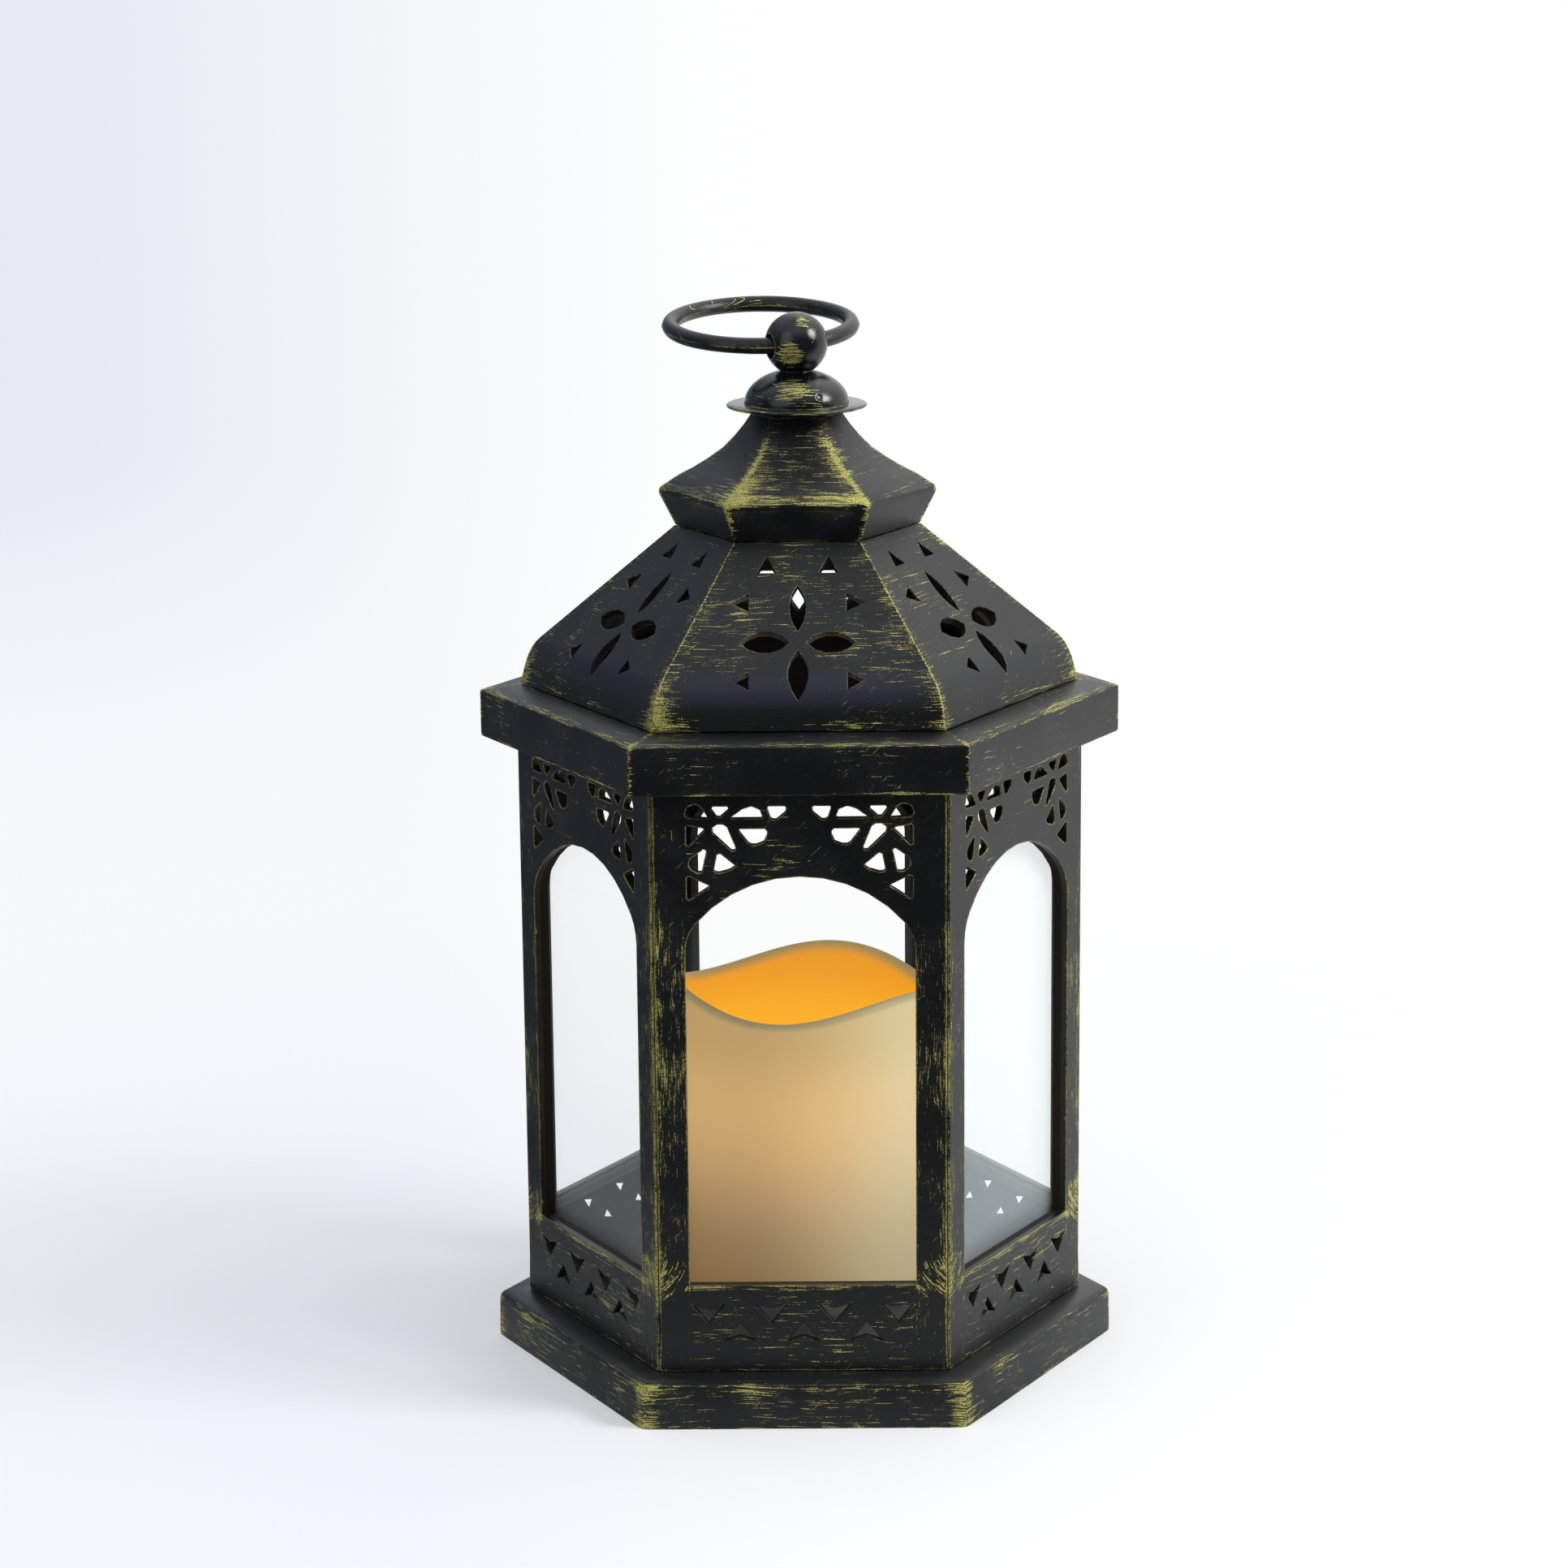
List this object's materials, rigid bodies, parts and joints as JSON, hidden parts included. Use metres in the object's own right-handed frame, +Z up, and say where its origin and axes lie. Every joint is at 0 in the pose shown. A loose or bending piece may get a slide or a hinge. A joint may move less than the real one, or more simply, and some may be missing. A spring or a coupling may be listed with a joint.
{
  "type": "hexagonal hurricane lantern",
  "caption": "Hexagonal hurricane lantern with arched windows, lattice-cut walls, a pierced roof, a ring handle and a battery candle inside.",
  "frame": {"origin": "centre of the plinth's foot, on the ground", "axes": "+Z up; the front wall faces -Y and two corners of the hexagon lie on the X axis"},
  "size_m": [0.1772, 0.1534, 0.2931],
  "materials": {
    "painted_shell": "matt charcoal paint, dry-brushed with olive gold on edges and faces",
    "clear_sheet": "clear sheet, gloss",
    "wax": "cream wax look, satin, translucent",
    "white_plastic": "moulded, satin",
    "black_plastic": "moulded, satin",
    "steel": "plated steel",
    "board": "green solder mask",
    "cell": "printed jacket, plain, gloss",
    "lamp": "warm white lamp, clear resin"
  },
  "bodies": {
    "lantern": {"plinth": "painted_shell", "base_cover": "painted_shell", "cornice": "painted_shell", "roof": "painted_shell", "crown": "painted_shell", "finial": "painted_shell", "candle_shell": "wax", "candle_base": "white_plastic", "switch_body": "black_plastic", "circuit_board": "board", "contact_board_bottom": "board", "contact_board_top": "board", "led_bulb": "lamp", "led_lead_long": "steel", "led_lead_short": "steel", "finial_screw": "steel", "finial_washer": "steel", "base_screw_1": "steel", "battery_1": "cell", "contact_spring_1": "steel", "base_screw_2": "steel", "battery_2": "cell", "contact_spring_2": "steel", "base_screw_3": "steel", "battery_3": "cell", "contact_spring_3": "steel", "wall_panel_front": "painted_shell", "pane_front": "clear_sheet", "wall_panel_front_right": "painted_shell", "pane_front_right": "clear_sheet", "wall_panel_back_right": "painted_shell", "pane_back_right": "clear_sheet", "wall_panel_back": "painted_shell", "pane_back": "clear_sheet", "wall_panel_back_left": "painted_shell", "pane_back_left": "clear_sheet", "wall_panel_front_left": "painted_shell", "pane_front_left": "clear_sheet"},
    "ring": {"ring_handle": "painted_shell"},
    "switch": {"switch_knob": "black_plastic"},
    "door": {"battery_door": "white_plastic"}
  },
  "joints": [
    {"name": "ring_swing", "type": "hinge", "parent": "lantern", "child": "ring", "pos_m": [0, 0, 0.2845], "axis": [0.9141, 0.4032, 0.0436], "range_deg": [-50, 218]},
    {"name": "switch_slide", "type": "slide", "parent": "lantern", "child": "switch", "axis": [1, 0, 0], "range_m": [-0.004, 0]},
    {"name": "battery_door_turn", "type": "hinge", "parent": "lantern", "child": "door", "pos_m": [0, 0, 0.0034], "axis": [0, 0, 1], "range_deg": [0, 40]}
  ]
}
